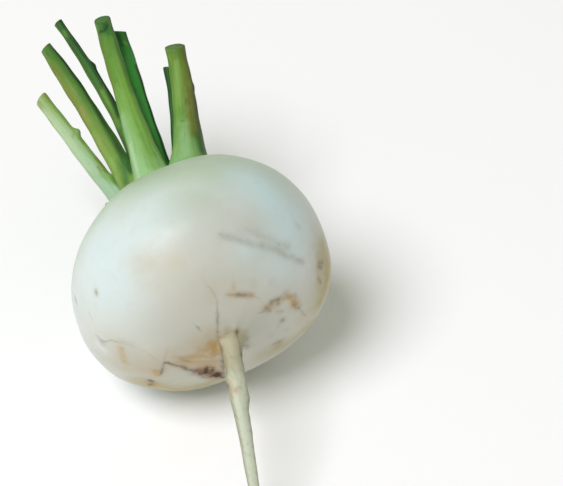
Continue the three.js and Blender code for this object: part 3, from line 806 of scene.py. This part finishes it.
stalkShape = {
    "footSpread": 6, "spreadReach": 7, "depth": 0.82, "footFlattening": 0.22, "channel": 0.2,
    "channelWidth": 0.5, "channelFadesFrom": 0.6, "outerShare": 0.6, "innerShare": 0.4,
    "knuckleLength": 1.6, "cutFrom": 0.8, "around": 72, "rows": 150, "rimRows": 4, "capRows": 9,
    "rimRadius": 0.25, "dish": 0.35,
    "ribs": 0.09, "ribsRound": (5, 7, 9, 12, 15), "ribPhase": 6.28, "seedBefore": 19,
    # unevenness along it, as height and waves a millimetre, and where along it relief sets in
    "uneven": [(0.12, 0.19), (0.07, 0.53)], "unevenPhase": 6, "reliefFrom": (2, 10),
    # where the tones lie along it, how softly its darker side starts, and where that sets in
    "toneStops": (0, 0.32, 0.7, 0.97), "shadeSoftness": 0.35, "shadeFrom": (0, 0.25),
    "paintLight": (0.8, 0.84, 0.68),  # share of red, green and blue left after the wet sheen's own
}


def stalkRings(stalk, seed):
    # rings up the stalk, round its cut rim and in over its cut end. Each point is the bowed line
    # plus its section's across and up, less the fall of the slanting cut
    s = stalkShape
    a, b, c = np.array(stalk["line"], float)
    t = np.linspace(0, 1, 400)[:, None]
    bowed = (1 - t) ** 2 * a + 2 * t * (1 - t) * b + t ** 2 * c
    length = evenly(bowed, np.ones(1))[1]
    turn = np.linspace(0, 2 * np.pi, s["around"], endpoint=False)
    rim = s["rimRadius"] / length
    rimShare = s["rimRadius"] / (stalk["width"][2] / 2)
    wall = np.linspace(0, 1 - rim, s["rows"])
    quarter = np.linspace(0, np.pi / 2, s["rimRows"] + 1)[1:]
    inwards = np.linspace(1, 0, s["capRows"] + 1)[1:-1]
    along = np.concatenate([wall, 1 - rim + rim * np.sin(quarter), np.ones(len(inwards))])
    shrink = np.concatenate([np.ones(len(wall)), 1 - rimShare * (1 - np.cos(quarter)),
                             (1 - rimShare) * inwards])
    dish = np.concatenate([np.zeros(len(wall) + len(quarter)), s["dish"] * (1 - inwards ** 2)])
    inside = np.concatenate([np.zeros(len(wall)), quarter / np.pi, 0.5 + (1 - inwards) / 2])
    walked = along * length

    # the line, and its section's own directions
    line, _ = evenly(bowed, along)
    ahead, behind = (evenly(bowed, np.clip(along + step, 0, 1))[0] for step in (2e-3, -2e-3))
    tangent = unit(ahead - behind)
    out = unit(a * np.array([1, 0, 1]))
    out = unit(out - tangent * (tangent @ out)[:, None])
    side = np.cross(tangent, out)

    # the section: wide and flat at the foot, ribbed, with knuckles and a channel on its inner side
    x, z = shrink[:, None] * np.sin(turn), shrink[:, None] * np.cos(turn)
    spread = np.exp(-walked / s["spreadReach"])
    foot, middle, tip = stalk["width"]
    width = ((1 - along) ** 2 * foot + 2 * along * (1 - along) * middle + along ** 2 * tip
             + s["footSpread"] * spread)
    depth = width * (s["depth"] - s["footFlattening"] * spread)
    draw = np.random.default_rng(seed)
    ribbed = sum(draw.uniform(0.4, 1) * np.sin(n * turn + draw.uniform(0, s["ribPhase"]))
                 for n in s["ribsRound"]) / 2
    uneven = sum(height * np.sin(walked * pace + draw.uniform(0, s["unevenPhase"]))
                 for height, pace in s["uneven"])
    relief = (s["ribs"] * ribbed + uneven[:, None]) * shrink[:, None]
    relief *= smoothStep(walked, *s["reliefFrom"])[:, None]
    for share, facing, height in stalk.get("knuckles", []):
        towards = np.maximum(np.cos(np.arctan2(z, x) - math.radians(facing)), 0) ** 3
        relief += height * bell((along - share) * length, s["knuckleLength"])[:, None] * towards
    channelDepth = s["channel"] * width * (1 - smoothStep(along, s["channelFadesFrom"], 1))
    channel = np.where(z < 0, channelDepth[:, None] * bell(x, s["channelWidth"]) * -z, 0)
    across = x * (width[:, None] / 2 + relief)
    share = np.where(z > 0, s["outerShare"], s["innerShare"])
    up = z * (depth[:, None] * share + relief) + channel * shrink[:, None]

    # the cut falls away to one side, and its face is slightly dished
    slope, cutSide = (math.radians(angle) for angle in stalk["cut"])
    fall = math.tan(slope) * (across * math.cos(cutSide) + up * math.sin(cutSide))
    back = fall * smoothStep(along, s["cutFrom"], 1)[:, None] + dish[:, None]
    rings = (line[:, None] + side[:, None] * across[..., None] + out[:, None] * up[..., None]
             - tangent[:, None] * back[..., None])
    none = np.zeros_like(across)
    return {
        "rings": rings, "pole": line[-1] - tangent[-1] * s["dish"],
        "flowing": np.stack([across, none + walked[:, None], up], -1),
        "capped": np.stack([none + inside[:, None], none + along[:, None], none], -1),
        "facing": side[:, None] * np.sin(turn)[:, None] + out[:, None] * np.cos(turn)[:, None],
    }


def stalkPaint(stalk, rows, points, shape):
    # the tones run from foot to tip; over them the painted shade of the darker side, and then the
    # strokes, some of them painted shade, each a bell across its path
    s = stalkShape
    share = withPoles(shape["capped"])[:, 1]
    tones = np.array([tint(*tone)[:3] for tone in stalk["tones"]])
    paint = np.stack([np.interp(share, s["toneStops"], tones[:, i]) for i in range(3)], -1)
    # painted shade on the side that faces shadeFacing, fading in up from the foot
    shadeFacing, strength, edge, shadeTone = stalk["shade"]
    turned = withPoles(shape["facing"]) @ np.array(shadeFacing, float)
    dark = smoothStep(turned, edge - s["shadeSoftness"], edge + s["shadeSoftness"]) * strength
    layers = [(dark * smoothStep(share, *s["shadeFrom"]), shadeTone)]
    tree = surfaceTree(points, shape["rings"])
    for path, (reach, strength, tone) in placed(tree, rows):
        layers.append((strength * bell(nearPath(points, path)[0], reach), tone))
    for laid, tone in layers:
        paint = paint * (1 - laid[:, None]) + np.array(stalkTones[tone][:3]) * laid[:, None]
    return paint * s["paintLight"]


def stalkMaterial():
    # the painted tones, streaked along the stalk's ribs, with a moist cut end
    f = Finish("leaf_stalk_green")
    flowing, _ = f.attribute("flowing")
    paint, _ = f.attribute("paint")
    _, (inside, _, _) = f.attribute("capped")
    growth, _ = f.attribute("growth")

    def drawnOut(across, along, detail=3, roughness=0.55):
        return f.noise(f.scaled(flowing, across, along, across), 1, detail, roughness)

    ribs = drawnOut(1.2, 0.05, 4)
    hairs = drawnOut(4, 0.12, 3, 0.6)
    patches = drawnOut(0.5, 0.12)
    mottle = f.noise(growth, 1.1, 4, 0.6)
    streak = (ribs - 0.5) * 0.55 + (hairs - 0.5) * 0.25 + (patches - 0.5) * 0.35 + (mottle - 0.5) * 0.16
    deeper = f.blend(1, paint, stalkTones["streakDeep"], "MULTIPLY")
    lighter = f.blend(0.35, paint, stalkTones["streakPale"])
    colour = f.blend((0 - streak).ramp(0, 0.28) * 0.75, paint, deeper)
    colour = f.blend(streak.ramp(0, 0.3) * 0.6, colour, lighter)

    # the cut end: pith, dotted with the bundles that run up the stalk, inside a dull rim
    pith = drawnOut(1.1, 0.2)
    bundles = f.cells(f.scaled(flowing, 1.2, 0.1, 1.2), 1)
    flesh = f.blend(pith, stalkTones["pithDeep"], stalkTones["pithPale"])
    flesh = f.blend(0.75, f.blend(bundles.ramp(0.1, 0.4), stalkTones["bundle"], flesh), paint)
    cutFace = inside.ramp(0.3, 0.55)
    onRim = inside.ramp(0.08, 0.3) * (1 - inside.ramp(0.5, 0.7))
    colour = f.blend(onRim * 0.45, f.blend(cutFace, colour, flesh), stalkTones["cutRim"])
    return f.close({
        "Base Color": colour,
        "Roughness": 0.5 + 0.14 * patches + 0.1 * cutFace,
        "Normal": f.bump(ribs + 0.4 * hairs, 0.2 * mm, 0.4),
        "Subsurface Weight": 0.08,
        "Subsurface Radius": (0.6, 1, 0.4),
        "Subsurface Scale": 0.002,
        "Specular IOR Level": 0.25,
    })


stalkGreen = stalkMaterial()
for number, stalk in stalks.items():
    name = f"leaf_stalk_{number}"
    shape = stalkRings(stalk, stalkShape["seedBefore"] + number)
    poles = (shape["rings"][0].mean(0), shape["pole"])
    points = withPoles(shape["rings"], poles)
    attributes = {"growth": points, "flowing": withPoles(shape["flowing"]),
                  "capped": withPoles(shape["capped"]),
                  "paint": stalkPaint(stalk, strokes.get(number, []), points, shape)}
    made = tubeObject(name + "_dressed", shape["rings"], poles, attributes, stalkGreen)
    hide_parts(name)
print("stalks made:", len(stalks))

# floor and light, in metres and watts
studio = {
    "floorSize": 6, "floorTone": tint(253, 253, 252),
    "worldTone": (1, 1, 0.86, 1), "worldStrength": 0.373,
    "lampPlace": (-1.4, -0.55, 2.58), "lampAim": (0, 0, 0.04), "lampSize": 1.7, "lampPower": 69,
    "lampTone": (1, 1, 1.08),
}
half = studio["floorSize"] / 2
mesh = bpy.data.meshes.new("floor")
corners = [(-half, -half, 0), (half, -half, 0), (half, half, 0), (-half, half, 0)]
mesh.from_pydata(corners, [], [(0, 1, 2, 3)])
mesh.materials.append(Finish("pale_floor").close({
    "Base Color": studio["floorTone"], "Roughness": 0.9, "Specular IOR Level": 0.1}))
floor = addObject("floor", mesh)

lampData = bpy.data.lights.new("key", "AREA")
lampData.shape = "DISK"
lampData.size = studio["lampSize"]
lampData.energy = studio["lampPower"]
lampData.color = studio["lampTone"]
lamp = addObject("key", lampData)
lamp.location = studio["lampPlace"]
aim = Vector(studio["lampAim"]) - Vector(studio["lampPlace"])
lamp.rotation_euler = aim.to_track_quat("-Z", "Y").to_euler()
world = bpy.data.worlds.new("studio")
world.use_nodes = True
background = world.node_tree.nodes["Background"].inputs
background["Color"].default_value = studio["worldTone"]
background["Strength"].default_value = studio["worldStrength"]
bpy.context.scene.world = world
bpy.context.scene.view_settings.view_transform = "Standard"
print("floor and light set")

bpy.context.view_layer.update()
